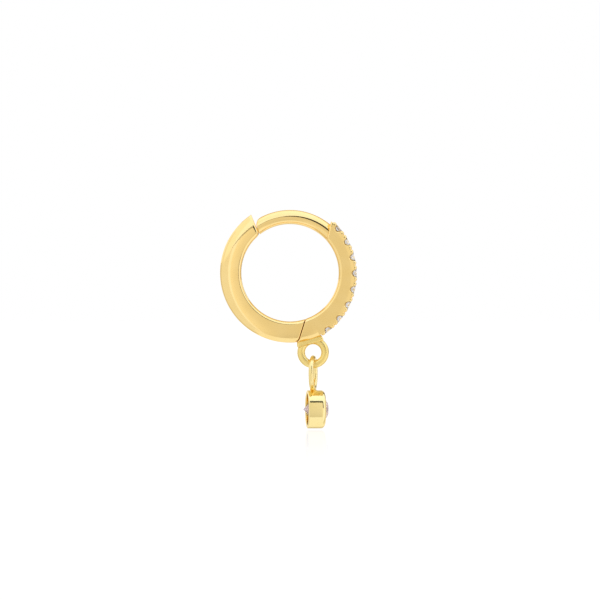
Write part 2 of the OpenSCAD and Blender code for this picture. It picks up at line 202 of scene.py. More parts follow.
WARM = ((0.955, 0.675, 0.250, 1), (0.975, 0.705, 0.280, 1))
PALE = ((0.955, 0.745, 0.300, 1), (0.975, 0.775, 0.340, 1))
OLIVE = ((0.930, 0.690, 0.220, 1), (0.950, 0.720, 0.260, 1))
polished_gold = gold("polished_gold", WARM, roughness=0.10, swell=0.08, marks=0.06)
beaded_gold = gold("beaded_gold", WARM, roughness=0.18, swell=0.20, marks=0.20)
pale_gold = gold("pale_gold", PALE, roughness=0.11, swell=0.04, marks=0.05)
wire_gold = gold("wire_gold", PALE, roughness=0.24, swell=0.04, marks=0.05)
soldered_gold = gold("soldered_gold", OLIVE, roughness=0.30, swell=0.30, marks=0.15)


# %% Stones
def cut_stone(name, low, high, index, cloudiness, clearness):
    """A stone between two tints, in clouds of this scale, that lets this share of light through."""
    mat = bpy.data.materials.new(name)
    nodes, links = node_tree(mat)
    shader = nodes["Principled BSDF"]
    shader.inputs["Transmission Weight"].default_value = clearness
    shader.inputs["IOR"].default_value = index
    shader.inputs["Roughness"].default_value = 0.02
    place = add_node(nodes, "TexCoord")
    cloud = add_node(nodes, "TexNoise", {"Scale": cloudiness})
    tint = add_tint(nodes, low, high, 0.35)
    links.new(place.outputs["Object"], cloud.inputs["Vector"])
    links.new(cloud.outputs["Fac"], tint.inputs["Fac"])
    links.new(tint.outputs["Color"], shader.inputs["Base Color"])
    return mat


clear_stone = cut_stone("clear_stone", (0.97, 0.96, 0.93, 1), (1.0, 1.0, 0.98, 1), index=2.1,
                        cloudiness=2000, clearness=0.97)
pink_stone = cut_stone("pink_stone", (0.95, 0.78, 1.0, 1), (1.0, 0.90, 1.0, 1), index=1.95,
                       cloudiness=1200, clearness=0.84)

# %% [markdown]
# ## The section of the hoop
# Cut across, the hoop has twice bevelled inside corners, and sides that polishing has made into a
# dome towards the outside. One face gives it: its corners are bevelled, its outer part is drawn in,
# and its outline, kept as a loop of edges, is what the spin tool turns round the hoop.

# %% Section loop
# The inside bevel: how far it reaches outwards and across, where it bends, and how soft it is
BEVEL_W, BEVEL_DEPTH, BEVEL_BEND, BEVEL_ROUND = 0.22, 0.22, (0.09, 0.085), 0.055


def section_loop(r_out, dome_from, dome, power, round_out):
    """Outline of a section that reaches r_out, narrower by the share dome at its outer end."""
    bm = bmesh.new()
    half = BAND_W / 2
    bend_r, bend_y = HOOP_R + BEVEL_BEND[0], half - BEVEL_BEND[1]
    near = [(HOOP_R, BEVEL_DEPTH - half), (bend_r, -bend_y), (HOOP_R + BEVEL_W, -half),
            (r_out, -half)]
    corners = near + [(r, -y) for r, y in reversed(near)]
    bm.faces.new([bm.verts.new((r, y, 0)) for r, y in corners])
    inner = [v for v in bm.verts if v.co.x < HOOP_R + BEVEL_W + 0.01]
    bmesh.ops.bevel(bm, geom=inner, affect="VERTICES", offset=BEVEL_ROUND, segments=6, profile=0.5,
                    material=-1, offset_type="OFFSET")
    outer = [v for v in bm.verts if v.co.x > r_out - 0.001]
    bmesh.ops.bevel(bm, geom=outer, affect="VERTICES", offset=round_out, segments=9, profile=0.5,
                    material=-1, offset_type="OFFSET")
    long_edges = [e for e in bm.edges if e.calc_length() > 0.3]
    bmesh.ops.subdivide_edges(bm, edges=long_edges, cuts=17)
    # The dome: the sides come together with a power of the distance, from dome_from outwards
    for v in bm.verts:
        t = max(v.co.x - dome_from, 0) / (r_out - dome_from)
        v.co.y *= 1 - dome * t ** power
    bmesh.ops.delete(bm, geom=bm.faces[:], context="FACES_ONLY")
    return bm


def sweep_section(bm, start_deg, end_deg, steps, start_angle, end_angle):
    """Spins the loop round the hoop, then slants it so that each end follows its own joint line."""
    bmesh.ops.rotate(bm, cent=(0, 0, 0), matrix=Matrix.Rotation(-math.radians(start_deg), 3, "Y"),
                     verts=bm.verts)
    bmesh.ops.translate(bm, vec=HOOP_CENTRE, verts=bm.verts)
    bmesh.ops.spin(bm, geom=bm.verts[:] + bm.edges[:], cent=HOOP_CENTRE, axis=(0, -1, 0),
                   angle=math.radians(end_deg - start_deg), steps=steps, use_merge=False)
    for v in bm.verts:
        r, a = radius_and_angle(v.co)
        while a < start_deg - 1:
            a += 360
        share = (a - start_deg) / (end_deg - start_deg)
        a = start_angle(r) * (1 - share) + end_angle(r) * share
        v.co = polar(r, a, v.co.y)


def open_loop(bm, near_deg):
    """The edges of the open end that lies within 40 degrees of this angle."""
    def off(e):
        return abs((radius_and_angle(e.verts[0].co)[1] - near_deg + 180) % 360 - 180)

    return [e for e in bm.edges if e.is_boundary and off(e) < 40]


def round_end(bm, edges, angle_at, towards, reach, side, radial, pivot_r, steps=6):
    """Carries an open end on to its joint line while it shrinks along a quarter circle; caps it.

    It gets narrower by side on each side, and by the share radial towards the radius pivot_r.
    """
    shrunk_y = shrunk_r = 1.0
    for k in range(1, steps + 1):
        turn = math.pi / 2 * k / steps
        left, inward = reach * (1 - math.sin(turn)), 1 - math.cos(turn)
        ring = bmesh.ops.extrude_edge_only(bm, edges=edges)["geom"]
        verts = [g for g in ring if isinstance(g, bmesh.types.BMVert)]
        edges = [g for g in ring if isinstance(g, bmesh.types.BMEdge)
                 and all(v in verts for v in g.verts)]
        new_y, new_r = 1 - inward * side / (BAND_W / 2), 1 - inward * radial
        for v in verts:
            r, _ = radius_and_angle(v.co)
            r = pivot_r + (r - pivot_r) * new_r / shrunk_r
            y = v.co.y * new_y / shrunk_y
            v.co = polar(r, angle_at(r) - towards * math.degrees(left / r), y)
        shrunk_y, shrunk_r = new_y, new_r
    cap = bmesh.ops.contextual_create(bm, geom=edges)["faces"]
    across = {}
    for v in cap[0].verts:
        across.setdefault(round(radius_and_angle(v.co)[0], 3), []).append(v)
    for pair in across.values():
        if len(pair) == 2:
            bmesh.ops.connect_verts(bm, verts=pair)


# %% [markdown]
# ## Where the two halves meet
# At the catch both halves end on one slanted line. At the hinge the line is straight inside and
# curves round the hidden pin outside, so that the plain half can turn without biting the front.

# %% Joint lines
CATCH_IN, CATCH_OUT = 128.75, 123.75
HINGE_IN, HINGE_OUT = 288.4, 276.6
KNUCKLE_R = 0.6
PIN = HOOP_CENTRE + Vector((0.136, 0, -4.688))
# Radius at which the straight part of the hinge line runs into the knuckle's circle
TANGENT_R = 4.92


def catch_angle(r):
    return line_angle(r, CATCH_IN, CATCH_OUT)


def hinge_angle(r, gap=0.0):
    straight = line_angle(r, HINGE_IN, HINGE_OUT) % 360
    # Where the circle of the knuckle has this radius on the hoop, on the front side of the pin
    pin_r, pin_deg = radius_and_angle(PIN)
    size = KNUCKLE_R + gap
    cosine = (pin_r ** 2 + r ** 2 - size ** 2) / (2 * pin_r * r)
    if abs(cosine) >= 1:
        return straight
    curved = pin_deg % 360 + math.degrees(math.acos(cosine))
    return min(straight, curved) if r > TANGENT_R else straight


print("hinge line at", [round(hinge_angle(r), 2) for r in (3.65, 4.2, 4.6, 4.9, 5.0, 5.1, 5.24)])

# %% [markdown]
# ## The plain half
# This is the bright, bare half of the hoop. Its catch end is a pointed tip: the sides and the
# inside are polished round, while the outside edge stays crisp. So the end is carried on in short
# steps that shrink only towards the outside.

# %% Plain half
TIP_REACH, JOINT_REACH = 0.26, 0.06
PLAIN_DOME = {"dome_from": 3.95, "dome": 0.48, "power": 3, "round_out": 0.16}
JOINT_END = {"reach": JOINT_REACH, "side": 0.25, "radial": 0.03, "pivot_r": 4.5}
plain = section_loop(OUTER_R, **PLAIN_DOME)
sweep_section(plain, CATCH_IN, HINGE_IN, steps=150,
              start_angle=lambda r: catch_angle(r) + math.degrees(TIP_REACH / r),
              end_angle=lambda r: hinge_angle(r) - math.degrees(JOINT_REACH / r))
round_end(plain, open_loop(plain, CATCH_IN), catch_angle, -1, reach=TIP_REACH, side=0.22,
          radial=0.10, pivot_r=OUTER_R, steps=8)
round_end(plain, open_loop(plain, HINGE_IN), hinge_angle, 1, **JOINT_END)
plain_half = put(plain, "plain_half", "back", polished_gold)
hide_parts("back_half")

# %% [markdown]
# ## The stone band
# The front half has the same inside, but its sides are flat and its outside follows the flatter
# circle of the stones. It is swept as a round band, from below the last stone to the slanted collar
# at the ear post, and its outer part is then moved onto that circle. A short block, domed like the
# plain half, joins it to the hinge.

# %% Band sizes
ROW_CENTRE = HOOP_CENTRE + Vector((-0.41, 0, -0.11))
RAIL_R, GIRDLE_R, BEAD_TIP_R = 5.29, 5.2145, 5.44
STONES, STONE_D, STONE_GAP = 8, 1.06, 0.139
PITCH = math.degrees((STONE_D + STONE_GAP) / GIRDLE_R)
ROW_END = -58.6
FIRST_STONE = ROW_END + (STONES - 0.5) * PITCH
BAND_IN, BAND_OUT = FIRST_STONE + 1.3, FIRST_STONE + 12.8
# Angle at which the block ends and the band starts
PLAIN_TOP = -64.73
# Outside of the band as it is swept, and where its outer part starts to be moved and fully is
FLAT_R, RISE_FROM, RISE_TO = 4.92, 3.95, 4.45


def band_angle(r):
    return line_angle(r, BAND_IN, BAND_OUT)


def rail_radius(deg):
    """Distance from the hoop's middle to the rail's outside, in this direction."""
    shift = ROW_CENTRE - HOOP_CENTRE
    along = shift.dot(unit(deg))
    return along + math.sqrt(along ** 2 - shift.length_squared + RAIL_R ** 2)


# %% Band body
def front_joint(r):
    return hinge_angle(r, SEAM) - 360 + math.degrees(SEAM / r)


COLLAR = 0.17
block = section_loop(OUTER_R, **PLAIN_DOME)
rail = section_loop(FLAT_R, dome_from=FLAT_R - 0.30, dome=0.03, power=1, round_out=0.05)
sweep_section(block, HINGE_IN - 360, PLAIN_TOP, steps=16,
              start_angle=lambda r: front_joint(r) + math.degrees(JOINT_REACH / r),
              end_angle=lambda r: PLAIN_TOP)
sweep_section(rail, PLAIN_TOP, BAND_IN, steps=110, start_angle=lambda r: PLAIN_TOP,
              end_angle=lambda r: band_angle(r) - math.degrees(COLLAR / r))
for v in rail.verts:
    r, a = radius_and_angle(v.co)
    share = min(max((r - RISE_FROM) / (RISE_TO - RISE_FROM), 0), 1)
    v.co = polar(r + share * (rail_radius(a) - FLAT_R), a, v.co.y)
round_end(block, open_loop(block, HINGE_IN - 360), front_joint, -1, **JOINT_END)
round_end(rail, open_loop(rail, BAND_IN), band_angle, 1, reach=COLLAR, side=0.13, radial=0.08,
          pivot_r=FLAT_R)
for part in (block, rail):
    bmesh.ops.contextual_create(part, geom=[e for e in part.edges if e.is_boundary])
stone_band = put(rail, "stone_band", "front", polished_gold)
put(block, "hinge_block", "front", polished_gold)
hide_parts("front_half")

# %% [markdown]
# ## Seats and scallops
# Each stone sits in a drilled hole with a conical floor, and a round notch is filed beside it on
# both sides, which lets light in and leaves the scalloped edge of a pave row. The notch narrows
# towards the stone, and its steep wall shows as a brown crescent beside it. Both are cut out of the
# finished band.

# %% Seats and scallops
# Half of the notch's outline: distance from the middle of the band, and radius there
NOTCH = [(0.85, 0.0), (0.85, 0.395), (0.74, 0.285), (0.48, 0.19)]
STONE_DEPTH, SEAT_GAP, SEAT_TOP = 0.43 * STONE_D, 0.02, 0.3


def onto_row(bm, verts, radius, deg):
    """Puts verts, drawn with +Z pointing out of the hoop, at this place on the row."""
    bmesh.ops.rotate(bm, cent=(0, 0, 0), matrix=Matrix.Rotation(math.radians(90 - deg), 3, "Y"),
                     verts=verts)
    bmesh.ops.translate(bm, vec=ROW_CENTRE + radius * unit(deg), verts=verts)


def turned(bm, profile, axis, steps=40):
    """A closed body: the open profile, which starts and ends on the axis, spun round it."""
    verts = [bm.verts.new(Vector(p)) for p in profile]
    edges = [bm.edges.new(pair) for pair in zip(verts, verts[1:])]
    before = set(bm.verts) - set(verts)
    bmesh.ops.spin(bm, geom=verts + edges, cent=(0, 0, 0), axis=axis, angle=math.tau, steps=steps,
                   use_merge=True)
    made = [v for v in bm.verts if v not in before]
    bmesh.ops.remove_doubles(bm, verts=made, dist=0.0001)
    return [v for v in bm.verts if v not in before]


notches, seats = bmesh.new(), bmesh.new()
notch_outline = [(0, -y, r) for y, r in NOTCH] + [(0, y, r) for y, r in reversed(NOTCH)]
seat_r, seat_low = STONE_D / 2 + SEAT_GAP, -STONE_DEPTH - 2 * SEAT_GAP
for i in range(STONES):
    deg = FIRST_STONE - i * PITCH
    onto_row(notches, turned(notches, notch_outline, (0, 1, 0)), RAIL_R, deg)
    seat = turned(seats, [(0, 0, seat_low), (seat_r, 0, -SEAT_GAP), (seat_r, 0, SEAT_TOP),
                          (0, 0, SEAT_TOP)], (0, 0, 1))
    onto_row(seats, seat, GIRDLE_R, deg)
cut_away(stone_band, notches)
cut_away(stone_band, seats)
print("stone_band has", len(stone_band.data.polygons), "faces after cutting")

# %% [markdown]
# ## Hinge tongue and catch tab
# Between two cheeks of the plain half a flat tongue turns on the hidden pin, and a small tab on the
# end of the ear post snaps into a socket. Closed, they only darken the two joint lines.

# %% Plates in the hoop's plane
TONGUE_W, RUN_GAP, WEB_INSET = 0.50, 0.03, 0.2
# Corners of the web, as angles round the pin at this many times the knuckle's radius
WEB_DEG, WEB_REACH, WEB_LIFT_DEG = (8, -9.5, -27, -44.5, -62), 1.9, 98
# The tab lies on a circle round the pin: thickness and width, angles, radius, play in its socket,
# and how many degrees the socket goes on for each millimetre of play
TAB_SIZE, TAB_FROM, TAB_TO, TAB_SWING, TAB_PLAY = (0.36, 0.50), 105.94, 111.13, 8.283, 0.05
PLAY_DEG = 8


def plate(points, width, reach=99.0):
    """A flat plate across the hoop; points further than reach from the middle are drawn in."""
    bm = bmesh.new()
    outline = []
    for p in points:
        flat = p - HOOP_CENTRE
        outline.append(bm.verts.new(HOOP_CENTRE + flat * min(1, reach / flat.length)))
    face = bm.faces.new(outline)
    bmesh.ops.translate(bm, vec=(0, -width / 2, 0), verts=bm.verts)
    top = bmesh.ops.extrude_face_region(bm, geom=[face])["geom"]
    bmesh.ops.translate(bm, vec=(0, width, 0),
                        verts=[g for g in top if isinstance(g, bmesh.types.BMVert)])
    bmesh.ops.recalc_face_normals(bm, faces=bm.faces)
    return bm


def knuckle(gap):
    return [PIN + (KNUCKLE_R + gap) * unit(5 * k) for k in range(72)]


def web(gap):
    corner = PIN + gap * unit(WEB_LIFT_DEG)
    return [corner] + [corner + WEB_REACH * KNUCKLE_R * unit(a) for a in WEB_DEG]


def tab(play):
    thick, end = TAB_SIZE[0] / 2 + play, TAB_TO + PLAY_DEG * play
    return [PIN + (TAB_SWING + side * thick) * unit(a)
            for side, a in ((-1, TAB_FROM), (1, TAB_FROM), (1, end), (-1, end))]


tongue_reach = OUTER_R - RUN_GAP
put(plate(knuckle(0), TONGUE_W, tongue_reach), "hinge_tongue", "front", polished_gold)
put(plate(web(0), TONGUE_W, tongue_reach - WEB_INSET), "tongue_web", "front", polished_gold)
put(plate(tab(0), TAB_SIZE[1]), "catch_tab", "front", polished_gold)
cut_away(plain_half, plate(knuckle(HALF_GAP), TONGUE_W + 2 * RUN_GAP))
cut_away(plain_half, plate(web(HALF_GAP), TONGUE_W + 2 * RUN_GAP))
cut_away(plain_half, plate(tab(TAB_PLAY), TAB_SIZE[1] + 2 * TAB_PLAY))
print("plain_half has", len(plain_half.data.polygons), "faces after cutting")

# %% [markdown]
# ## Beads
# Twin beads of metal are raised between neighbouring stones and pressed over their edges. A bead is
# a ball whose lower half is pulled down into the rail, so it stands on a short round foot.

# %% Beads
BEAD_D, BEAD_TWIN, BEAD_FOOT, BEAD_STRETCH = 0.34, 0.34, 0.35, 1.08
BEAD_Y = BAND_W / 2 - BEAD_D / 2 - 0.02
TWIN_DEG = math.degrees(BEAD_TWIN / GIRDLE_R)
beads = bmesh.new()
for i in range(STONES):
    for side in (-1, 1):
        for y in (-BEAD_Y, BEAD_Y):
            made = bmesh.ops.create_uvsphere(beads, u_segments=20, v_segments=12,
                                             radius=BEAD_D / 2)["verts"]
            for v in made:
                v.co.x *= BEAD_STRETCH
                if v.co.z < -1e-5:
                    v.co.z -= BEAD_FOOT
            bmesh.ops.translate(beads, vec=(0, y, 0), verts=made)
            onto_row(beads, made, BEAD_TIP_R - BEAD_D / 2,
                     FIRST_STONE - i * PITCH + side * (PITCH - TWIN_DEG) / 2)
put(beads, "pave_beads", "front", beaded_gold, 60)

# %% [markdown]
# ## The ear post
# The round wire that goes through the ear runs on from the stone band. Its end meets the plain half
# on the catch line, with the outer corner rounded off so that it slides into the lobe.

# %% Ear post
POST_R, POST_MID = 0.53, 4.18
POST_START = BAND_IN - 4
POST_ROUND, POST_REACH = 0.55, 0.07


def post_end(r):
    """The catch line, drawn back by a quarter circle towards the outside of the post."""
    left = min(max(POST_MID + POST_R - r, 0), POST_ROUND)
    back = POST_ROUND - math.sqrt(POST_ROUND ** 2 - (POST_ROUND - left) ** 2)
    return catch_angle(r) - math.degrees((back + 2 * SEAM) / r)


post = bmesh.new()
bmesh.ops.create_circle(post, cap_ends=False, segments=64, radius=POST_R)
bmesh.ops.translate(post, vec=(POST_MID, 0, 0), verts=post.verts)
sweep_section(post, POST_START, CATCH_IN, steps=90, start_angle=lambda r: POST_START,
              end_angle=lambda r: post_end(r) - math.degrees(POST_REACH / r))
round_end(post, open_loop(post, CATCH_IN), post_end, 1, reach=POST_REACH, side=0.09, radial=0.10,
          pivot_r=POST_MID, steps=5)
bmesh.ops.contextual_create(post, geom=[e for e in post.edges if e.is_boundary])
put(post, "ear_post", "front", polished_gold)

# %% [markdown]
# ## Fixed ring and its solder
# A closed ring of round wire is soldered under the hinge. The solder has run into the corners, so
# it is a small block with strongly rounded edges between ring and hoop.

# %% Fixed ring
RING_AT = HOOP_CENTRE + Vector((1.734, 0, -5.968))
RING_R, RING_WIRE, RING_DEG = 0.895, 0.29, -73.8


def torus(bm, centre, radius, wire, axis, start, around=64, across=28):
    """A closed ring: a circle of wire at start, spun round the axis through the centre."""
    made = bmesh.ops.create_circle(bm, cap_ends=False, segments=across, radius=wire)["verts"]
    side = start.cross(axis).normalized()
    turn = Matrix((start, axis, side)).transposed()
    for v in made:
        v.co = centre + radius * start + turn @ Vector((v.co.x, v.co.y, 0))
    edges = list({e for v in made for e in v.link_edges})
    bmesh.ops.spin(bm, geom=made + edges, cent=centre, axis=axis, angle=math.tau, steps=around,
                   use_merge=True)


ring = bmesh.new()
torus(ring, RING_AT, RING_R, RING_WIRE, Vector((0, 1, 0)), Vector((1, 0, 0)), 96)
put(ring, "fixed_ring", "front", soldered_gold)

# %% Solder
# Half the block's width across the hoop; half its length and its height above the ring's middle
SOLDER_HALF, SOLDER_TOP, SOLDER_FOOT, SOLDER_ROUND = 0.36, (0.95, 1.12), (1.05, 0.64), 0.16
solder = bmesh.new()
bmesh.ops.create_grid(solder, x_segments=1, y_segments=1, size=0.5)
for v in solder.verts:
    length, height = SOLDER_TOP if v.co.y > 0 else SOLDER_FOOT
    v.co = Vector((math.copysign(length, v.co.x), -SOLDER_HALF, height))
face = bmesh.ops.extrude_face_region(solder, geom=solder.faces[:])["geom"]
bmesh.ops.translate(solder, vec=(0, 2 * SOLDER_HALF, 0),
                    verts=[g for g in face if isinstance(g, bmesh.types.BMVert)])
bmesh.ops.recalc_face_normals(solder, faces=solder.faces)
bmesh.ops.bevel(solder, geom=solder.edges[:], affect="EDGES", offset=SOLDER_ROUND, segments=6,
                profile=0.5, material=-1, offset_type="OFFSET")
bmesh.ops.rotate(solder, cent=(0, 0, 0), verts=solder.verts,
                 matrix=Matrix.Rotation(-math.radians(RING_DEG + 90), 3, "Y"))
bmesh.ops.translate(solder, vec=RING_AT, verts=solder.verts)
put(solder, "ring_solder", "front", soldered_gold)

# %% [markdown]
# ## The charm's hanging ring
# A thinner ring links through the fixed one and is soldered to the cup below with a small blob. It
# is turned a little about the upright line, as it hangs in the photograph.

# %% Hanging ring
BAIL_R, BAIL_WIRE = 1.18, 0.18
BLOB_R, BLOB_SHAPE, BLOB_DROP = 0.24, (1.0, 1.2, 1.1), 0.05
BAIL_AT = HOOP_CENTRE + Vector((1.734, 0, -7.543))
BAIL_TURN, CUP_TURN = math.radians(-8), math.radians(6)
bail = bmesh.new()
bail_axis = Vector((math.cos(BAIL_TURN), math.sin(BAIL_TURN), 0))
torus(bail, BAIL_AT, BAIL_R, BAIL_WIRE, bail_axis, Vector((0, 0, 1)), 96, 24)
blob = bmesh.ops.create_uvsphere(bail, u_segments=28, v_segments=16, radius=BLOB_R)["verts"]
bmesh.ops.scale(bail, vec=BLOB_SHAPE, verts=blob)
bmesh.ops.translate(bail, vec=BAIL_AT - Vector((0, 0, BAIL_R + BLOB_DROP)), verts=blob)
put(bail, "hanging_ring", "charm", wire_gold)

# %% [markdown]
# ## The cup of the charm
# The cup is a short tube with a soft back rim, a ledge inside that carries the stone, and a lip
# that is pressed over the stone's crown. Its section is spun round the cup's own axis.

# %% Cup
CUP_AT = HOOP_CENTRE + Vector((1.734, 0, -10.238))
CUP_R, CUP_DEPTH, CUP_AHEAD = 1.435, 1.36, 0.21
cup = bmesh.new()
# Corners of the cup's section: radius, and distance from its back plane
corners = [(1.195, 0.0), (CUP_R, 0.0), (CUP_R, CUP_DEPTH - 0.04), (0.90, CUP_DEPTH), (1.17, 1.02),
           (1.17, 0.98), (0.99, 0.79), (0.99, 0.63), (1.195, 0.52)]
outline = [cup.verts.new((z, r, 0)) for r, z in corners]
cup.faces.new(outline)
# How much a corner is rounded, by its place in the list
ROUNDS = {0: 0.07, 1: 0.10, 2: 0.28, 3: 0.03}
for index, size in ROUNDS.items():
    r, z = corners[index]
    near = [v for v in cup.verts if (v.co - Vector((z, r, 0))).length < 1e-4]
    bmesh.ops.bevel(cup, geom=near, affect="VERTICES", offset=size, segments=10, profile=0.5,
                    material=-1, offset_type="OFFSET")
bmesh.ops.subdivide_edges(cup, edges=[e for e in cup.edges if e.calc_length() > 0.5], cuts=6)
bmesh.ops.delete(cup, geom=cup.faces[:], context="FACES_ONLY")
bmesh.ops.spin(cup, geom=cup.verts[:] + cup.edges[:], cent=(0, 0, 0), axis=(1, 0, 0),
               angle=math.tau, steps=128, use_merge=True)


def into_cup(bm, verts):
    """Puts verts, drawn along +X from the cup's back plane, into the earring."""
    bmesh.ops.translate(bm, vec=(CUP_AHEAD - CUP_DEPTH / 2, 0, 0), verts=verts)
    bmesh.ops.rotate(bm, cent=(0, 0, 0), matrix=Matrix.Rotation(CUP_TURN, 3, "Z"), verts=verts)
    bmesh.ops.translate(bm, vec=CUP_AT, verts=verts)


into_cup(cup, cup.verts)
charm_cup = put(cup, "charm_cup", "charm", pale_gold)
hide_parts("charm_bezel")

# %% [markdown]
# ## Stones and hinge pin
# The stones are cut in the CAD model, with flat facets and sharp edges, and the pin is a plain
# cylinder. These nodes stay as they are and only get their finish.

# %% Carried-over nodes
for name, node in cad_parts.items():
    if name.startswith("pave_stone"):
        finish, slot = clear_stone, "clear_stone"
    elif name == "charm_stone":
        finish, slot = pink_stone, "pink_stone"
    elif name == "hinge_pin":
        finish, slot = polished_gold, "gold"
    else:
        continue
    node.data.materials.clear()
    node.data.materials.append(finish)

# %% [markdown]
# ## The room
# Jewellery is photographed in a white tent. What gives it shape is the little that isn't white: a
# grey card at the camera with soft sides, dark strips at its edges and a bright ceiling that starts
# above it. The light of the tent is a cool white, which polished gold turns into cream. The camera
# sees neither the tent nor the cards, only plain white.

# %% World
TENT_TONE, TENT_LIGHT = (0.80, 0.83, 1.0, 1), 1.42
world = bpy.data.worlds.new("tent")
bpy.context.scene.world = world
nodes, links = node_tree(world)
nodes.clear()
out = add_node(nodes, "OutputWorld")
mix = add_node(nodes, "MixShader")
path = add_node(nodes, "LightPath")
white = add_node(nodes, "Background", {"Color": (1, 1, 1, 1)})
tent = add_node(nodes, "Background", {"Color": TENT_TONE, "Strength": TENT_LIGHT})
links.new(path.outputs["Is Camera Ray"], mix.inputs["Fac"])
links.new(tent.outputs["Background"], mix.inputs[1])
links.new(white.outputs["Background"], mix.inputs[2])
links.new(mix.outputs["Shader"], out.inputs["Surface"])

# %% [markdown]
# ## Cards
# The grey card and the strips beside it lie on one slanted plane. It starts near the earring, just
# above the ear post, and gets wider and farther away downwards, like a slice of a pyramid of sight
# lines. Most cards have a twin behind the earring, so that its other side looks as good. Dimmer
# walls stand behind the earring on both sides. A small warm card hangs above and behind it, where
# only a few reflections find it.

# %% Card sizes
NEAR, FAR, TOP_Z, LOW_Z = -19.0, -54.0, 2.5, -74.0
TOP_HALF, LOW_HALF = 9.0, 30.0
SPREAD = (LOW_HALF - TOP_HALF) / (TOP_Z - LOW_Z)
# The dark strip at the right edge ends at this height and goes on as a light one
SIDE_Z = -11.0
# The walls: how far to the side, from where to where, and the heights of their foot and their top
WALL, WALL_FRONT, WALL_BACK, FOOT_Z, WALL_Z = 45.0, -78.0, 70.0, LOW_Z - 20, 30.0
# The bright front stands just behind the dark strips. It is softer left of FRONT_SPLIT
BACK, FRONT_SPLIT, CEILING_Z, CEILING_END = NEAR - 0.5, -16.0, 45.0, 60.0
# Light of the grey card from its left side to its right one, and its share at the foot of the card
CARD_STOPS = [(0.0, 1.05), (0.12, 1.03), (0.25, 0.96), (0.38, 0.87), (0.50, 0.82), (0.72, 0.83),
              (0.84, 0.93), (1.0, 1.02)]
CARD_MAX, FOOT_SHARE, FOOT_FROM = 1.25, 0.84, -12.0
WHITE, AMBER = (1, 1, 1, 1), (0.92, 0.76, 0.40, 1)
HAZE, SKY = (0.86, 0.90, 1.0, 1), (0.70, 0.80, 1.0, 1)


# %% Card helpers
def shade_card(nodes, links, light, strength, stops):
    """Shades a card from side to side by the stops, and darkens it a little towards its foot."""
    place = add_node(nodes, "TexCoord")
    split = add_node(nodes, "SeparateXYZ")
    half = add_node(nodes, "Math", {1: -SPREAD, 2: (TOP_HALF + TOP_Z * SPREAD) * MM},
                    operation="MULTIPLY_ADD")
    across = add_node(nodes, "Math", operation="DIVIDE")
    middle = add_node(nodes, "Math", {1: 0.5, 2: 0.5}, operation="MULTIPLY_ADD")
    ramp = add_node(nodes, "ValToRGB")
    ramp.color_ramp.interpolation = "B_SPLINE"
    while len(ramp.color_ramp.elements) < len(stops):
        ramp.color_ramp.elements.new(0.5)
    for element, (at, value) in zip(ramp.color_ramp.elements, stops):
        element.position = at
        element.color = (value / CARD_MAX, value / CARD_MAX, value / CARD_MAX, 1)
    foot = add_node(nodes, "MapRange", {"From Min": LOW_Z * MM, "From Max": FOOT_FROM * MM,
                                        "To Min": FOOT_SHARE * strength * CARD_MAX,
                                        "To Max": strength * CARD_MAX})
    links.new(split.outputs["Z"], foot.inputs["Value"])
    links.new(foot.outputs["Result"], light.inputs["Strength"])
    links.new(place.outputs["Object"], split.inputs["Vector"])
    links.new(split.outputs["Z"], half.inputs[0])
    links.new(split.outputs["X"], across.inputs[0])
    links.new(half.outputs["Value"], across.inputs[1])
    links.new(across.outputs["Value"], middle.inputs[0])
    links.new(middle.outputs["Value"], ramp.inputs["Fac"])
    links.new(ramp.outputs["Color"], light.inputs["Color"])


def glow(name, strength, tone, stops):
    """Light of this tone that only the front of a card gives."""
    mat = bpy.data.materials.new(name)
    nodes, links = node_tree(mat)
    nodes.clear()
    light = add_node(nodes, "Emission", {"Strength": strength, "Color": tone})
    clear = add_node(nodes, "BsdfTransparent")
    sides = add_node(nodes, "NewGeometry")
    choice = add_node(nodes, "MixShader")
    end = add_node(nodes, "OutputMaterial")
    links.new(sides.outputs["Backfacing"], choice.inputs["Fac"])
    links.new(light.outputs["Emission"], choice.inputs[1])
    links.new(clear.outputs["BSDF"], choice.inputs[2])
    links.new(choice.outputs["Shader"], end.inputs["Surface"])
    if stops:
        shade_card(nodes, links, light, strength, stops)
    return mat


def card(name, corners, strength, tone=WHITE, stops=None, twin=True):
    """A flat card, and its twin behind the earring, in millimetres. Only reflections see them."""
    bm = bmesh.new()
    for side in (1, -1) if twin else (1,):
        face = bm.faces.new([bm.verts.new(Vector((x, side * y, z)) * MM) for x, y, z in corners])
        face.normal_update()
        if face.normal.dot(HOOP_CENTRE * MM - face.calc_center_median()) < 0:
            face.normal_flip()
    obj = to_object(bm, name)
    obj.data.materials.append(glow(name, strength, tone, stops))
    obj.visible_camera = False
    obj.visible_shadow = False


def slanted(inner, outer, top, foot):
    """Corners on the slanted plane between two shares of its half width and two heights."""
    points = []
    for share, z in ((inner, top), (outer, top), (outer, foot), (inner, foot)):
        y = NEAR + (FAR - NEAR) * (TOP_Z - z) / (TOP_Z - LOW_Z)
        points.append((share * (TOP_HALF + SPREAD * (TOP_Z - z)), y, z))
    return points


def upright(left, right, y, top):
    """Corners of a card that faces the camera, from the height of the slanted plane's top."""
    return [(left, y, TOP_Z), (right, y, TOP_Z), (right, y, top), (left, y, top)]


def wall(x, front, back, top):
    """Corners of a card at the side."""
    return [(x, front, top), (x, back, top), (x, back, FOOT_Z), (x, front, FOOT_Z)]


# %% Cards in front
card("grey_card", slanted(-1, 1, TOP_Z, LOW_Z), 1.0, stops=CARD_STOPS)
card("dark_side", slanted(1, 2, TOP_Z, SIDE_Z), 0.15)
card("soft_side", slanted(1, 2, SIDE_Z, LOW_Z), 1.1)
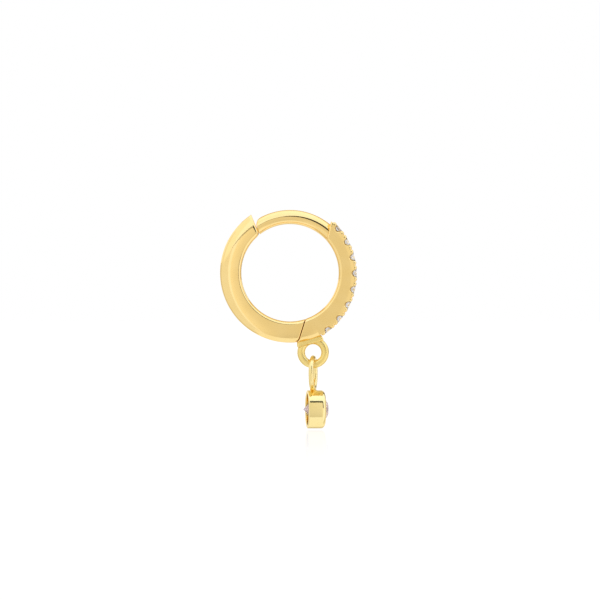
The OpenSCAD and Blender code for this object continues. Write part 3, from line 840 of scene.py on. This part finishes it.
# The dark line along the ear post and the soft one at the tip of the plain half
card("dark_top", [(-0.8, NEAR, TOP_Z), (18, NEAR, TOP_Z), (18, NEAR, 11), (5, NEAR, 10),
                  (-0.8, NEAR, 6.4)], 0.04)
card("dim_top", [(-16, NEAR, TOP_Z), (-0.8, NEAR, TOP_Z), (-0.8, NEAR, 5.6), (-2, NEAR, 4.7),
                 (-16, NEAR, 2.9)], 0.40)
card("soft_front", upright(-CEILING_END, FRONT_SPLIT, BACK, CEILING_Z), 1.3, HAZE)
card("bright_front", upright(FRONT_SPLIT, CEILING_END, BACK, CEILING_Z), 1.6, SKY)

# %% Cards around
card("bright_ceiling", [(-30, BACK, CEILING_Z), (CEILING_END, BACK, CEILING_Z),
                        (CEILING_END, 0, CEILING_Z), (-30, 0, CEILING_Z)], 1.7, SKY)
card("low_card", [(-WALL, FAR, LOW_Z), (WALL, FAR, LOW_Z), (WALL, 0, FOOT_Z), (-WALL, 0, FOOT_Z)],
     1.22, HAZE)
card("left_wall", wall(-WALL, WALL_FRONT, 0, WALL_Z), 1.10, HAZE, twin=False)
card("left_back", wall(-WALL, 0, WALL_BACK, TOP_Z), 0.78, twin=False)
card("right_back", wall(WALL, 0, WALL_BACK, TOP_Z), 0.78, twin=False)
# Seen by the top of the charm's cup, which mirrors warm light there
card("warm_card", [(-8, 3, 4), (12, 3, 4), (12, 26, 4), (-8, 26, 4)], 0.85, AMBER, twin=False)

# %% [markdown]
# ## Floor and camera
# The floor is white acrylic, so bright that it can't be told from the background. It mirrors the
# charm only at a low angle, only in a narrow strip below it, and more faintly towards the camera.

# %% Floor
FLOOR_Z, FLOOR_LIGHT = -15.92, 1.06
# The strip: half its width, its end behind the charm, where its mirroring starts, and how much
STRIP_HALF, STRIP_END, FADE_FROM, MIRRORED = 7.0, 3.0, -110.0, 0.22
plane = bmesh.new()
bmesh.ops.create_grid(plane, x_segments=1, y_segments=1, size=2.0)
bmesh.ops.translate(plane, vec=(0, 0, FLOOR_Z * MM), verts=plane.verts)
floor = to_object(plane, "floor")
acrylic = bpy.data.materials.new("white_acrylic")
nodes, links = node_tree(acrylic)
nodes.clear()
end = add_node(nodes, "OutputMaterial")
mix = add_node(nodes, "MixShader")
light = add_node(nodes, "Emission", {"Strength": FLOOR_LIGHT})
gloss = add_node(nodes, "BsdfGlossy", {"Roughness": 0.04, "Color": WHITE})
place = add_node(nodes, "TexCoord")
split = add_node(nodes, "SeparateXYZ")
fade = add_node(nodes, "MapRange", {"From Min": FADE_FROM * MM, "From Max": 0.0, "To Min": 0.0,
                                    "To Max": MIRRORED})
tilt = add_node(nodes, "LayerWeight", {"Blend": 0.5})
low_angle = add_node(nodes, "MapRange", {"From Min": 0.85, "From Max": 0.96})


def floor_math(operation, first, second=0.0):
    """Joins a socket with another socket or a number, and returns the result's socket."""
    node = add_node(nodes, "Math", operation=operation)
    links.new(first, node.inputs[0])
    if isinstance(second, float):
        node.inputs[1].default_value = second
    else:
        links.new(second, node.inputs[1])
    return node.outputs["Value"]


links.new(place.outputs["Object"], split.inputs["Vector"])
links.new(split.outputs["Y"], fade.inputs["Value"])
links.new(tilt.outputs["Facing"], low_angle.inputs["Value"])
to_the_side = floor_math("ABSOLUTE", split.outputs["X"])
in_front = floor_math("LESS_THAN", split.outputs["Y"], STRIP_END * MM)
in_strip = floor_math("LESS_THAN", to_the_side, STRIP_HALF * MM)
share = floor_math("MULTIPLY", fade.outputs["Result"], low_angle.outputs["Result"])
share = floor_math("MULTIPLY", share, in_front)
share = floor_math("MULTIPLY", share, in_strip)
links.new(share, mix.inputs["Fac"])
links.new(light.outputs["Emission"], mix.inputs[1])
links.new(gloss.outputs["BSDF"], mix.inputs[2])
links.new(mix.outputs["Shader"], end.inputs["Surface"])
floor.data.materials.append(acrylic)
floor.visible_glossy = False
floor.visible_transmission = False

# %% Camera
# Distance and width of the view in metres, and the point that it looks at
CAM_DISTANCE, VIEW_WIDTH, VIEW_AT, SENSOR = 0.42, 0.045, (0.00075, -0.00622), 36
camera = bpy.data.objects.new("camera", bpy.data.cameras.new("camera"))
bpy.context.scene.collection.objects.link(camera)
camera.location = (VIEW_AT[0], -CAM_DISTANCE, VIEW_AT[1])
camera.rotation_euler = (math.pi / 2, 0, 0)
camera.data.sensor_width = SENSOR
camera.data.lens = SENSOR * CAM_DISTANCE / VIEW_WIDTH
camera.data.clip_start, camera.data.clip_end = 0.01, 20
bpy.context.scene.camera = camera
bpy.context.scene.view_settings.view_transform = "Standard"
